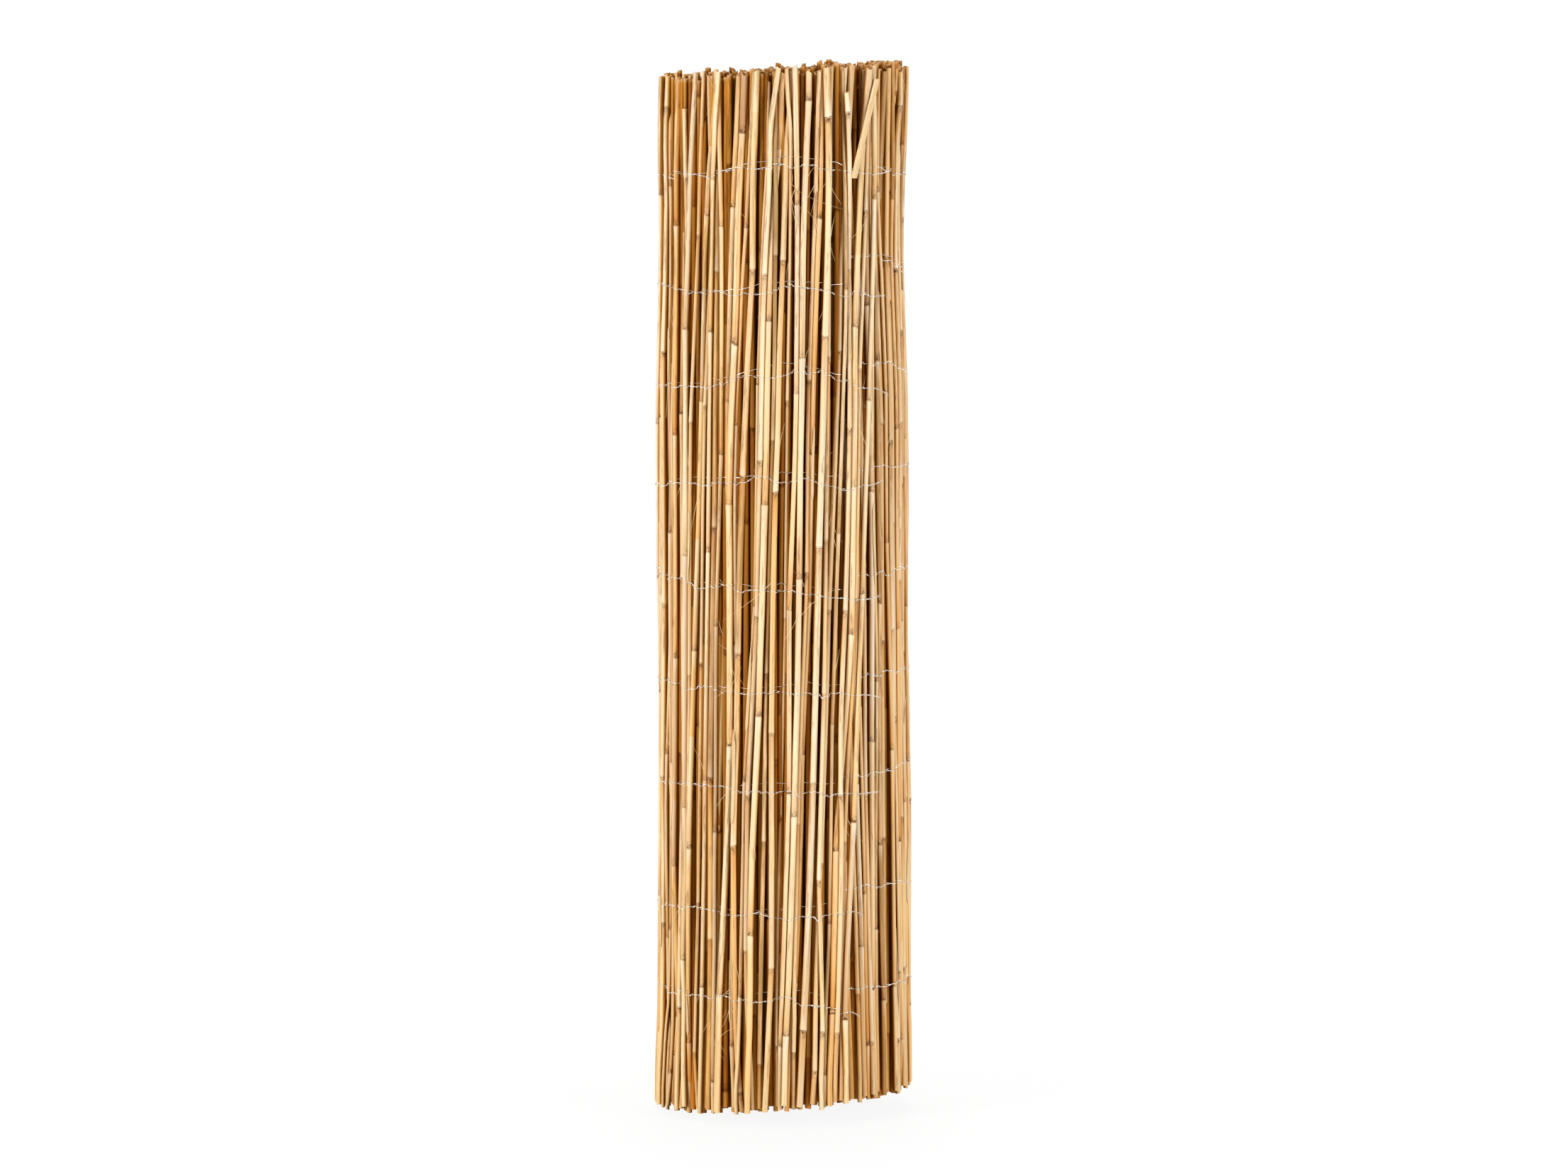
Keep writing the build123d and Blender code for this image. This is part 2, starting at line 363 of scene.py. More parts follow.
def readOuterReeds():
    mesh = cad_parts["outer_turn_reeds"].data
    points = readPoints(mesh)
    corners = np.empty(len(mesh.loops), dtype=np.int32)
    mesh.loops.foreach_get("vertex_index", corners)
    _, merged = np.unique(np.round(points, 6), axis=0, return_inverse=True)
    merged = merged.reshape(-1)
    faces = merged[corners].reshape(-1, 3)
    label = np.arange(merged.max() + 1)
    while True:  # corners of one reed take the lowest label among them
        lowest = label[faces].min(axis=1)
        before = label.copy()
        for k in range(3):
            np.minimum.at(label, faces[:, k], lowest)
        label = label[label]
        if (label == before).all():
            break
    part = label[merged]
    found = []
    for one in np.unique(part):
        corner = np.unique(np.round(points[part == one], 6), axis=0)
        ends = (
            corner[corner[:, 2] < corner[:, 2].min() + 0.001],
            corner[corner[:, 2] > corner[:, 2].max() - 0.001],
        )
        middles = [end.mean(axis=0) for end in ends]
        radii = [np.linalg.norm(end - middle, axis=1).max() for end, middle in zip(ends, middles)]
        found.append((*middles[0], *middles[1], *radii))
    return np.array(found)


outer = dict(
    seed=11,
    axis=(0.00217, 0.00261),  # the spiral's own axis lies off the middle of the footprint
    edgeAzimuth=28.0,  # foot of the mat's loose edge, degrees right of the front
    slimmer=(0.0017, 0.0033),  # thinnest and thickest radius: a reed's skin stays within its solid
    thinShare=1.15,  # above 1, more reeds are thin than thick
    tipWiden=0.08,  # reeds are thicker again at the tips
    tipWidenFrom=(0.84, 0.94),  # between these shares of their length
    sides=14,
    rings=88,
    firstJoint=(-0.10, 0.12),  # height, of the inner reeds' too
    internode=(0.140, 0.250),  # joint to joint
    jointRings=(-0.012, -0.006, -0.0026, -0.0012, -0.0005, 0.0001, 0.0008, 0.0022, 0.007),
    lean=(0.0085, 0.0012),  # from foot to tip, to the side and outward
    bow=(0.0014, 0.0004),
    footSplay=(0.0034, 0.00102),  # loose ends beyond the last wires
    footFree=0.14,
    tipSplay=(0.0060, 0.0024),
    mostSplay=1.5,  # times the splay
    looseFrom=0.87,  # above this height the tips are free
    looseSpread=(-0.04, 0.02),
    tipCurl=1.4,
    kinkAcross=0.0019,  # how far a joint stands to the side
    kinkOut=0.0010,
    settleSteps=200,
    stiffUntil=150,  # kinks come in at this step
    gap=0.00012,  # reeds stay at least this far apart
    outShare=0.6,  # they push each other outward less than to the side
    recessed=0.24,  # share of reeds that lie deeper in the mat
    recess=(0.0016, 0.0036),
    standLimits=(-0.0048, 0.0012),
    tipLimit=0.0040,  # the roll is narrower at the top, so tips may stand out more
    tipLimitFrom=(0.88, 0.96),
    flare=(0.0045, 88.0, 40.0),  # tips on the right stand out: how far, at which angle, over how many degrees
    flareFrom=(0.89, 1.0),
    flareCurl=1.3,
    sideHeights=(0.03, 0.085, 0.155, 0.26, 0.40, 0.54, 0.68, 0.815, 0.92, 1.0),
    rightSide=(1.4, 1.2, 1.3, 1.4, 0.6, 0.0, 0.3, -3.2, -1.8, -1.0),  # mm out or in at those heights
    leftSide=(0.6, -2.2, -2.4, -2.0, -1.2, 0.0, 0.9, -1.2, -1.8, -3.6),
    shortTips={3: 0.022, 17: 0.012, 29: 0.034, 46: 0.018, 71: 0.027, 95: 0.015},
    jointFree=0.012,  # no joint is nearer to an end
    tipShift=(  # tips are higher or lower by this, against where they are across
        (-0.125, -0.05, 0.02, 0.085, 0.125),
        (0.0050, 0.0022, 0.0, -0.0028, -0.0060),
    ),
    wall=0.30,  # of the radius, at a cut end
    hollow=0.022,  # depth of the hollow at a cut end
    footCut=0.22,  # how slanted and jagged the ends are cut, against the radius
    tipCut=0.62,
    endRings=(0.004, 0.030),
    paintedCutShade=0.50,  # painted shade at a cut tip is at most this, so the tip is paler than the sides
    upsideDown=0.40,  # share of reeds with their root up
    envelope=3,  # neighbours on each side whose reach sets a reed's painted shade
    deepest=0.004,  # a reed that lies this much deeper than they do
    paintedRecessShade=0.21,  # gets this much painted shade
    paintedSideShade=0.80,  # and its flanks, facing away from outward, get up to this much painted shade
    paintedRightShade=0.10,  # painted shade on the reeds right of the mat's loose edge
    paintedRightShadeFrom=(285.0, 300.0),
)
levels = np.linspace(0, 1, 121)
middleLevel = len(levels) // 2
cad = readOuterReeds()
axisXY = outer["axis"]
azimuth = np.degrees(np.arctan2(cad[:, 0] - axisXY[0], -(cad[:, 1] - axisXY[1])))
turned = (outer["edgeAzimuth"] + 2.0 - azimuth) % 360 - 2.0
order = np.argsort(turned)
cad, turned = cad[order], turned[order]
print(len(cad), "outer reeds read, axis at", axisXY)
rng = np.random.RandomState(outer["seed"])


def layJoints(count, random, span, low, high):  # heights of the joints of each reed
    joints = []
    for _ in range(count):
        places = [random.uniform(*outer["firstJoint"])]
        while places[-1] < span:
            places.append(places[-1] + random.uniform(low, high))
        joints.append([p for p in places if outer["jointFree"] < p < span - outer["jointFree"]])
    return joints


count = len(cad)
footPlace, tipPlace = cad[:, 0:3], cad[:, 3:6]
footRadius, tipRadius = cad[:, 6], cad[:, 7]
reedLength = np.linalg.norm(tipPlace - footPlace, axis=1)
joints = layJoints(count, rng, 1.0, *outer["internode"])
centre = footPlace[:, None, :] + (tipPlace - footPlace)[:, None, :] * levels[None, :, None]
radius = footRadius[:, None] + (tipRadius - footRadius)[:, None] * levels[None, :]
fullness = ((radius - radius.min()) / (radius.max() - radius.min())) ** outer["thinShare"]
radius = outer["slimmer"][0] + (outer["slimmer"][1] - outer["slimmer"][0]) * fullness
radius *= 1 + outer["tipWiden"] * risen(levels, *outer["tipWidenFrom"])[None, :]
outward = unit((centre - [*axisXY, 0]) * [1, 1, 0])
around = rightOf(outward)


def bendReeds(random, way):  # to the side, way 0, or outward, way 1
    lean, bow, footSplay, tipSplay = (outer[name][way] for name in ("lean", "bow", "footSplay", "tipSplay"))
    bends = np.zeros((count, len(levels)))
    looseShare = outer["looseFrom"] + random.uniform(*outer["looseSpread"], count)
    for i in range(count):
        bends[i] = random.normal(0, lean) * (levels - 0.5)
        bends[i] += random.normal(0, bow) * (1 - (2 * levels - 1) ** 2)
        bends[i] += random.normal(0, footSplay) * (1 - risen(levels, 0, outer["footFree"]))
        splay = np.clip(random.normal(0, 1), -outer["mostSplay"], outer["mostSplay"]) * tipSplay
        bends[i] += splay * risen(levels, looseShare[i], 1) ** outer["tipCurl"]
    return bends


def kinkAtJoints(random, amount):  # straight from joint to joint, with a small change of direction at each
    kinks = np.zeros((count, len(levels)))
    for i in range(count):
        places = [0.0, *(j / reedLength[i] for j in joints[i]), 1.0]
        kinks[i] = np.interp(levels, places, random.normal(0, amount, len(places)))
    return kinks


sideways, standOut = (bendReeds(rng, way) for way in (0, 1))
deeper = (rng.rand(count) < outer["recessed"]) * rng.uniform(*outer["recess"], count)
deeper[:3] = 0
standOut -= deeper[:, None]
rightward = outer["edgeAzimuth"] - turned + 360 * (turned > 180)  # degrees right of the front
flareNear = np.exp(-((rightward - outer["flare"][1]) / outer["flare"][2]) ** 2)
flareRise = risen(levels, *outer["flareFrom"]) ** outer["flareCurl"]
standOut += outer["flare"][0] * flareNear[:, None] * flareRise[None, :]
lowest, highest = outer["standLimits"]
highest = highest + (outer["tipLimit"] - highest) * risen(levels, *outer["tipLimitFrom"])
for step in range(outer["settleSteps"]):  # neighbours push each other apart until none cut into one another
    place = centre + around * sideways[:, :, None] + outward * standOut[:, :, None]
    deepest = 0
    for ahead in (1, 2):
        apart = place[ahead:] - place[:-ahead]
        across = (apart * around[:-ahead]).sum(axis=2)
        out = (apart * outward[:-ahead]).sum(axis=2)
        distance = np.sqrt(across ** 2 + out ** 2) + 1e-9
        short = np.clip(radius[ahead:] + radius[:-ahead] + outer["gap"] - distance, 0, None)
        push = short * 0.5 / distance
        sideways[:-ahead] -= push * across
        sideways[ahead:] += push * across
        standOut[:-ahead] -= push * out * outer["outShare"]
        standOut[ahead:] += push * out * outer["outShare"]
        deepest = max(deepest, short.max())
    standOut = np.clip(standOut, lowest, highest[None, :])
    if step < outer["stiffUntil"]:  # a reed is stiff: what pushes it bends it over a long stretch
        for bend in (sideways, standOut):
            bend[:, 1:-1] = 0.25 * bend[:, :-2] + 0.5 * bend[:, 1:-1] + 0.25 * bend[:, 2:]
    elif step == outer["stiffUntil"]:
        sideways += kinkAtJoints(rng, outer["kinkAcross"])
        standOut += kinkAtJoints(rng, outer["kinkOut"])
sideness = np.sin(np.radians(outer["edgeAzimuth"] - turned))  # 1 at the right edge, -1 at the left
for side, drift in ((1, outer["rightSide"]), (-1, outer["leftSide"])):
    amount = np.clip(sideness * side, 0, 1) ** 3
    standOut += amount[:, None] * np.interp(levels, outer["sideHeights"], drift)[None, :] / 1000
place = centre + around * sideways[:, :, None] + outward * standOut[:, :, None]
print("reeds settled, deepest overlap left %.2f mm" % (deepest * 1000))

for i, cut in outer["shortTips"].items():  # some reeds were cut or broke off shorter
    place[i] = valuesAlong(levels * (1 - cut / reedLength[i]), levels, place[i])
    joints[i] = [j for j in joints[i] if j < reedLength[i] - cut - outer["jointFree"]]
place[:, -1] += unit(place[:, -1] - place[:, -2]) * np.interp(place[:, -1, 0], *outer["tipShift"])[:, None]

reach = np.hypot(place[:, :, 0] - axisXY[0], place[:, :, 1] - axisXY[1]) + radius
# painted shade: a reed that lies deeper than its neighbours is darkened, and so are the reeds right of the
# loose edge
shadingReach = reach.copy()
for ahead in range(1, outer["envelope"] + 1):
    shadingReach[ahead:] = np.maximum(shadingReach[ahead:], reach[:-ahead])
    shadingReach[:-ahead] = np.maximum(shadingReach[:-ahead], reach[ahead:])
paintedReedShade = risen(shadingReach - reach, 0, outer["deepest"]) * outer["paintedRecessShade"]
# painted shade on the reeds right of the loose edge
paintedReedShade += np.interp(turned, outer["paintedRightShadeFrom"], (0, outer["paintedRightShade"]))[:, None]


def makeReedMaster(sides, rings, wall, name):  # a tube whose height counts its rings
    bpy.ops.mesh.primitive_cylinder_add(vertices=sides, radius=1, depth=1, location=(0, 0, 0.5))
    bpy.ops.object.transform_apply(location=True)
    master = bpy.context.object
    master.name = name
    bpy.ops.object.mode_set(mode="EDIT")
    bpy.ops.mesh.select_all(action="DESELECT")
    bpy.ops.object.mode_set(mode="OBJECT")
    top = max(master.data.polygons, key=lambda p: p.center.z)
    top.select = True
    bpy.ops.object.mode_set(mode="EDIT")
    for _ in range(rings - 2):
        bpy.ops.mesh.extrude_region_move(TRANSFORM_OT_translate=dict(value=(0, 0, 1)))
    for end, down in ((rings - 1, -1), (0, 1)):  # a wall at each end, and the hollow inside it
        bpy.ops.mesh.select_all(action="DESELECT")
        bpy.ops.object.mode_set(mode="OBJECT")
        for polygon in master.data.polygons:
            polygon.select = len(polygon.vertices) == sides and abs(polygon.center.z - end) < 0.1
        bpy.ops.object.mode_set(mode="EDIT")
        bpy.ops.mesh.inset(thickness=wall)
        bpy.ops.mesh.extrude_region_move(TRANSFORM_OT_translate=dict(value=(0, 0, 0.25 * down)))
    bpy.ops.object.mode_set(mode="OBJECT")
    return master


def readMaster(master, rings):  # of each point: its ring, its angle, how far out it is, and whether in a hollow
    points = readPoints(master.data)
    ring = np.clip(np.round(points[:, 2]), 0, rings - 1).astype(int)
    deep = np.abs(points[:, 2] - np.round(points[:, 2])) > 0.1
    return ring, np.arctan2(points[:, 1], points[:, 0]), np.hypot(points[:, 0], points[:, 1]), deep


def ringPlaces(joint, length, rings, flare, extra):  # close together at the joints, even between them
    places = {0.0, length, *extra}
    for j in joint:
        places.update(j + f for f in flare if 0 < j + f < length)
    places = sorted(places)
    while len(places) > rings:
        places.pop(int(np.argmin(np.diff(places))) or 1)
    while len(places) < rings:
        k = int(np.argmax(np.diff(places)))
        places.insert(k + 1, (places[k] + places[k + 1]) / 2)
    return np.array(places)


reedLook = dict(
    tone=(0.42, 0.19),  # along the skin's colours: middle and spread
    ownTone=0.11,  # spread from one length between joints to the next
    toneFall=(0.0, 0.35),  # from one end of a length to the other
    grey=(-0.7, 0.3),  # weathering
    greyMore=1.0,  # of a few reeds
    greyShare=0.10,
    ownGrey=0.35,
    force=(0.30, 1.0),  # of a joint's marks
    swell=(0.5, 1.7),
    shoulder=(0.085, 0.007, 0.0011),  # on one side of a joint: share of the radius, reach and edge
    waist=(0.03, 0.010),  # on the other side
    ridge=(0.05, 0.0010, 0.0006),  # share of the radius, place and width
    slant=0.16,  # of a joint's ring
    slantReach=0.005,
    ownSize=0.018,
    uncovered=0.35,  # share of lengths that show where a sheath came off, at this share of them
    uncoveredEdge=(0.3, 0.8),
    covered=-50.0,  # mm past that edge, on the other lengths
    sheathed=0.05,  # share of lengths that have their sheath
    sheath=(0.4, 0.9),
    sheathSize=1.05,
    oval=0.03,
    turnStep=2.4,  # radians from reed to reed
    notch=0.3,  # against the slant of the cut
    farthest=60.0,  # mm from a joint that its marks reach at most
    paintedShadeFrom=-0.22,  # painted shade on a flank is full up to this cosine to outward
    paintedShadeSpan=0.80,
    margin=0.0002,  # inside the CAD model's box
    grainStep=0.031,
)


def jointSwell(distance, upsideDown):  # of the radius round a joint, against the distance from it in metres
    d = -distance if upsideDown else distance
    size, reach, edge = reedLook["shoulder"]
    swell = size * np.exp(np.minimum(d, 0) / reach) * (d < 0) * np.clip(-d / edge, 0, 1) ** 0.5
    size, reach = reedLook["waist"]
    swell -= size * np.exp(-np.maximum(d, 0) / reach) * (d >= 0)
    size, middle, width = reedLook["ridge"]
    return swell + size * np.exp(-((d - middle) / width) ** 2)


def writeAttribute(mesh, name, values, kind="FLOAT"):
    attribute = mesh.attributes.new(name, kind, "POINT")
    field = "vector" if kind == "FLOAT_VECTOR" else "value"
    attribute.data.foreach_set(field, values.astype(np.float32).ravel())


def shapeReed(
    master, layout, name, course, courseRadius, joint, upsideDown, random, settings, index, shadeOutward, dark,
):
    # course, courseRadius and dark, its painted shade, run from the foot to the tip
    ring, angle, spread, deep = layout
    rings = settings["rings"]
    steps = lengthsAlong(course)
    length = steps[-1]
    nearTip = [length - e for e in settings["endRings"]]
    places = ringPlaces(joint, length, rings, settings["jointRings"], nearTip)
    middle = valuesAlong(places, steps, course)
    along = unit(np.gradient(middle, places, axis=0))
    side = unit(np.cross(along, np.array([0.0, 1.0, 0.0])))
    front = np.cross(side, along)
    size = np.interp(places, steps, courseRadius)
    nodeAbove, nodeBelow = np.full((2, rings), reedLook["farthest"])  # mm from a joint, on either side
    tone, grey, sheath = np.zeros((3, rings))
    cover = np.full(rings, reedLook["covered"])
    reedTone = np.clip(random.normal(*reedLook["tone"]), 0, 1)
    greyness = random.uniform(*reedLook["grey"])
    greyness += reedLook["greyMore"] * (random.rand() < reedLook["greyShare"])
    jointForce = np.ones(rings)
    closest = np.full(rings, np.inf)
    slants = []
    rootward = -1 if upsideDown else 1
    for j in joint:
        nearer = np.abs(places - j) < closest
        closest = np.minimum(closest, np.abs(places - j))
        jointForce[nearer] = random.uniform(*reedLook["force"])
        size *= 1 + jointSwell(places - j, upsideDown) * random.uniform(*reedLook["swell"])
        slants.append((j, random.normal(0, reedLook["slant"]), random.uniform(0, 6.3)))
        ahead = (places - j) * 1000 * rootward
        nodeAbove = np.where(ahead >= 0, np.minimum(nodeAbove, ahead), nodeAbove)
        nodeBelow = np.where(ahead <= 0, np.minimum(nodeBelow, -ahead), nodeBelow)
    stops = [0.0, *joint, length]
    for low, high in zip(stops, stops[1:]):  # each length between joints has its own look
        here = (places >= low) & (places <= high)
        share = (places[here] - low) / max(high - low, 1e-6)
        ownTone = reedTone + random.normal(0, reedLook["ownTone"])
        tone[here] = np.clip(ownTone - random.uniform(*reedLook["toneFall"]) * (share - 0.5) * rootward, 0, 1)
        size[here] *= 1 + random.normal(0, reedLook["ownSize"])
        grey[here] = greyness + random.normal(0, reedLook["ownGrey"])
        if random.rand() < reedLook["uncovered"]:
            edge = random.uniform(*reedLook["uncoveredEdge"]) * (high - low)
            cover[here] = (edge - (places[here] - low)) * 1000 * rootward
        if random.rand() < reedLook["sheathed"]:
            sheath[here] = random.uniform(*reedLook["sheath"])
            size[here] *= reedLook["sheathSize"]
    offset = deep * settings["hollow"] * np.where(ring < rings / 2, 1, -1)
    oval = 1 + reedLook["oval"] * np.cos(2 * (angle + index))
    turn = angle + index * reedLook["turnStep"]
    facing = np.cos(turn)[:, None] * side[ring] + np.sin(turn)[:, None] * front[ring]
    for j, slant, phase in slants:  # a joint's ring isn't quite square to the reed
        near = np.exp(-((places[ring] - j) / reedLook["slantReach"]) ** 2)
        offset = offset + slant * size[ring] * near * np.cos(turn - phase)
    points = middle[ring] + along[ring] * offset[:, None] + (size[ring] * spread * oval)[:, None] * facing
    for end, uneven in ((0, settings["footCut"]), (rings - 1, settings["tipCut"])):
        slant = random.uniform(-uneven, uneven)
        notch = np.cos(turn - random.uniform(0, 6.3)) * slant
        notch = notch + np.sin(turn * 2 + index) * uneven * reedLook["notch"]
        points = points + along[ring] * (size[ring] * spread * notch * ((ring == end) & ~deep))[:, None]
    points[:, 2] = np.clip(points[:, 2], reedLook["margin"], cadBox[1][2] - reedLook["margin"])
    # painted shade: flanks facing away from outward are darkened
    litShare = np.clip((facing @ shadeOutward - reedLook["paintedShadeFrom"]) / reedLook["paintedShadeSpan"], 0, 1)
    paintedShade = np.interp(places, np.linspace(0, length, len(dark)), dark)[ring]
    paintedShade = np.clip(paintedShade + settings["paintedSideShade"] * (1 - litShare * litShare * (3 - 2 * litShare)), 0, 1)
    # painted shade at a cut tip is capped lower, so the tip is paler
    paintedShade = np.where((ring == rings - 1) & ~deep, np.minimum(paintedShade, settings["paintedCutShade"]), paintedShade)
    piece = shapedCopy(master, name, points)
    across = size[ring] * spread
    space = [np.cos(turn) * across + index * reedLook["grainStep"], np.sin(turn) * across, places[ring]]
    writeAttribute(piece.data, "reedSpace", np.stack(space, axis=1), "FLOAT_VECTOR")
    for key, values in dict(
        tone=tone[ring], nodeAbove=nodeAbove[ring], nodeBelow=nodeBelow[ring], cover=cover[ring],
        grey=grey[ring], jointForce=jointForce[ring], inside=spread < 0.99, sheath=sheath[ring], paintedShade=paintedShade,
    ).items():
        writeAttribute(piece.data, key, values)
    return piece


def finishReeds(pieces, name, material):
    joined = joinAll(pieces, name)
    joined.data.materials.append(material)
    selectOnly(joined)
    bpy.ops.object.shade_smooth_by_angle(angle=math.radians(50))
    return joined


master = makeReedMaster(outer["sides"], outer["rings"], outer["wall"], "reedMaster")
layout = readMaster(master, outer["rings"])
upsideDown = rng.rand(count) < outer["upsideDown"]
madeReeds = []
for i in range(count):
    madeReeds.append(shapeReed(
        master, layout, "reed%03d" % i, place[i], radius[i], joints[i], upsideDown[i], rng, outer, i,
        outward[i, middleLevel], paintedReedShade[i],
    ))
outerPieces = [
    finishReeds(madeReeds[:count // 2], "outer_reeds_front", reedMaterial),
    finishReeds(madeReeds[count // 2:], "outer_reeds_back", reedMaterial),
]
bpy.data.objects.remove(master)
for piece in outerPieces:
    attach(piece, "root")
    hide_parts("outer_turn_reeds")
print("outer reeds made:", sum(len(p.data.vertices) for p in outerPieces), "points")


# The turns inside: the same mat, wound on to the open middle

inner = dict(
    seed=5,
    sides=8,
    rings=6,
    nearRings=24,  # of the turn right under the outer one, which has its joints
    jointRings=(-0.0030, -0.0004, 0.0006),
    wall=0.32,
    hollow=0.020,
    footCut=0.22,
    tipCut=0.52,
    endRings=(0.004, 0.030),
    paintedCutShade=0.25,
    startAngle=361.5,  # degrees round the spiral from the loose edge
    nearUntil=721.0,
    under=0.0014,  # the spiral starts this much nearer the axis than the outer turn
    turnSpacing=0.0091,
    nearTurn=0.0008,  # the turn right under the outer one lies this much nearer to it
    paintedNearShade=(-0.16, -0.03, -0.24),  # and has less painted shade, by this much at its foot, below its tips and at them
    paintedNearShadeAt=(0, 0.8, 1),
    radius=(0.0023, 0.0034),
    nextRadius=0.00285,  # as a rule
    taper=(1.05, 0.85),  # of the radius at foot and tip
    stations=6,
    lean=0.0012,
    splay=0.0012,  # the feet stand out and the tips in by this much
    wobble=(0.0004, 0.0005),  # outward and along the mat
    paintedShade=0.90,  # painted shade on the skin of the inner turns
    paintedEndShade=(0.60, 0.70),  # less painted shade at the foot and at the tips, over this length
    endReach=0.030,
    paintedSideShade=0.45,
    gap=(0.0003, 0.0014),
    footSlope=0.0195,  # the feet stand higher at this angle, the tips to the right
    footSlopeAzimuth=66.0,
    tipSlope=0.0173,
    footRagged=0.008,
    tipRagged=0.0085,
    stub=(0.003, 0.008),  # a few tips stand above the others
    stubShare=0.05,
    height=1.01375,  # middle of the tips
    internode=(0.150, 0.255),
    innermost=0.0365,
    firstIndex=500,  # sets their grain apart from that of the outer reeds
    wireOff=0.0003,  # from the skin to the middle of the wire
)


def innerPaintedShades():  # painted shade along an inner reed, and along one right under the outer turn
    stations = np.linspace(0, 1, 101)
    paintedShades = inner["paintedShade"] - (inner["paintedShade"] - inner["paintedEndShade"][0]) * np.exp(-stations / inner["endReach"])
    paintedShades -= (inner["paintedShade"] - inner["paintedEndShade"][1]) * np.exp(-(1 - stations) / inner["endReach"])
    return paintedShades, np.clip(paintedShades + np.interp(stations, inner["paintedNearShadeAt"], inner["paintedNearShade"]), 0, 1)


def makeInnerReeds():
    random = np.random.RandomState(inner["seed"])
    kinds = (inner, dict(inner, rings=inner["nearRings"]))
    masters = [makeReedMaster(k["sides"], k["rings"], k["wall"], "innerMaster%d" % k["rings"]) for k in kinds]
    layouts = [readMaster(m, k["rings"]) for m, k in zip(masters, kinds)]
    paintedShades = innerPaintedShades()
    outermost = np.hypot(footPlace[0, 0] - axisXY[0], footPlace[0, 1] - axisXY[1]) - inner["under"]
    axis = np.array([*axisXY, 0])
    taper = np.linspace(*inner["taper"], inner["stations"])
    angle = inner["startAngle"]
    pieces = []
    while True:
        reach = outermost - inner["turnSpacing"] * angle / 360
        if reach < inner["innermost"]:
            break
        size = random.uniform(*inner["radius"])
        lean = random.normal(0, inner["lean"])
        turnedAzimuth = math.radians(outer["edgeAzimuth"] - angle)
        direction = np.array([math.sin(turnedAzimuth), -math.cos(turnedAzimuth), 0])
        tangent = rightOf(direction)
        share = reach / outermost  # nearer the middle the ends rise and fall less
        isNear = angle < inner["nearUntil"]
        reach += inner["nearTurn"] * isNear
        footRise = math.cos(turnedAzimuth - math.radians(inner["footSlopeAzimuth"])) * share
        low = inner["footSlope"] * (1 + footRise) / 2 + random.uniform(0, inner["footRagged"])
        high = inner["height"] + inner["tipSlope"] * direction[0] * share / 2
        high += random.uniform(-0.5, 0.5) * inner["tipRagged"]
        high += random.uniform(*inner["stub"]) * (random.rand() < inner["stubShare"])
        foot = axis + direction * (reach + inner["splay"]) - tangent * lean + up * low
        tip = axis + direction * (reach - inner["splay"]) + tangent * lean + up * high
        course = np.linspace(foot, tip, inner["stations"])
        for way, wobble in zip((direction, tangent), inner["wobble"]):
            course[1:-1] += way * random.normal(0, wobble, inner["stations"] - 2)[:, None]
        joint = layJoints(1, random, high - low, *inner["internode"])[0] if isNear else []
        pieces.append(shapeReed(
            masters[isNear], layouts[isNear], "innerReed%03d" % len(pieces), course, size * taper, joint,
            random.rand() < outer["upsideDown"], random, kinds[isNear], len(pieces) + inner["firstIndex"],
            direction, paintedShades[isNear],
        ))
        if isNear:
            nearReeds.append((angle, direction, reach + size + inner["wireOff"]))
        angle += math.degrees((size + random.uniform(*inner["gap"]) + inner["nextRadius"]) / reach)
    for master in masters:
        bpy.data.objects.remove(master)
    return pieces


nearReeds = []  # angle, direction and reach of the wire on the reeds right under the outer ones
innerReeds = makeInnerReeds()
innerPiece = finishReeds(innerReeds, "inner_reeds", reedMaterial)
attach(innerPiece, "root")
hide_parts("inner_turns")
print(len(innerReeds), "inner reeds made:", len(innerPiece.data.polygons), "faces")


# The binding wires

wires = dict(
    seed=3,
    radius=0.00026,  # of one strand
    pitch=0.0056,  # the strands' twist
    stepsPerTurn=5,
    firstRow=0.120,
    rowSpacing=0.100,
    driftAzimuths=(30.0, 0.0, -45.0, -90.0, -270.0, -305.0),
    rowDrifts=(  # mm from the even height at those angles
        (-10, 3, 3, 3, 10, 9),
        (-14, -18, -13, -17, 2, 8),
        (0, 4, 7, 4, 25, 18),
        (-3, -2, 2, 4, 16, 13),
        (-13, -5, 3, 8, 17, 10),
        (-5, 3, 2, -7, 11, 13),
        (-8, 8, -7, -11, 2, 12),
        (-21, -15, -19, -12, 2, 16),
        (-6, 4, -6, -7, -4, 0),
    ),
    wander=0.0030,  # from reed to reed
    slope=0.0011,  # across one reed
    innerRise=(0.0100, 0.0020),  # the row underneath is this much higher
    innerRiseAt=(20.0, 60.0),  # at these angles from the loose edge
    innerWander=0.0009,
    bends=(-64, -34, 0, 34, 64),  # degrees round a reed where the wire's course bends, outside it
    innerBends=(-64, 0, 64),
    clear=2.1,  # from a reed's skin to the middle of the wire, in strand radii
    swing=1.1,  # up or down between two reeds, against that
    tail=(0.010, 0.022),  # twisted ends past the mat's loose edge
    tailStart=3,  # strand radii past the first reed
    tailDroop=(-0.5, 0.3),
    tailLift=(0.0, 0.35),
    tailPitch=0.0032,
    tailSteps=6,  # per turn
    frayFrom=0.75,  # share of the tail's length
    fray=2.5,
)


def reedAt(i, height):  # middle, radius and outward direction of an outer reed at a height
    zs = place[i, :, 2]
    direction = unit(valuesAlong(height, zs, outward[i]))
    return valuesAlong(height, zs, place[i]), np.interp(height, zs, radius[i]), direction


def evenHeights(row, degrees):  # of a wire row, so many degrees round from the loose edge
    at = [outer["edgeAzimuth"] - azimuth for azimuth in wires["driftAzimuths"]]
    drift = np.interp(degrees, at, wires["rowDrifts"][row]) / 1000
    return wires["firstRow"] + wires["rowSpacing"] * row + drift


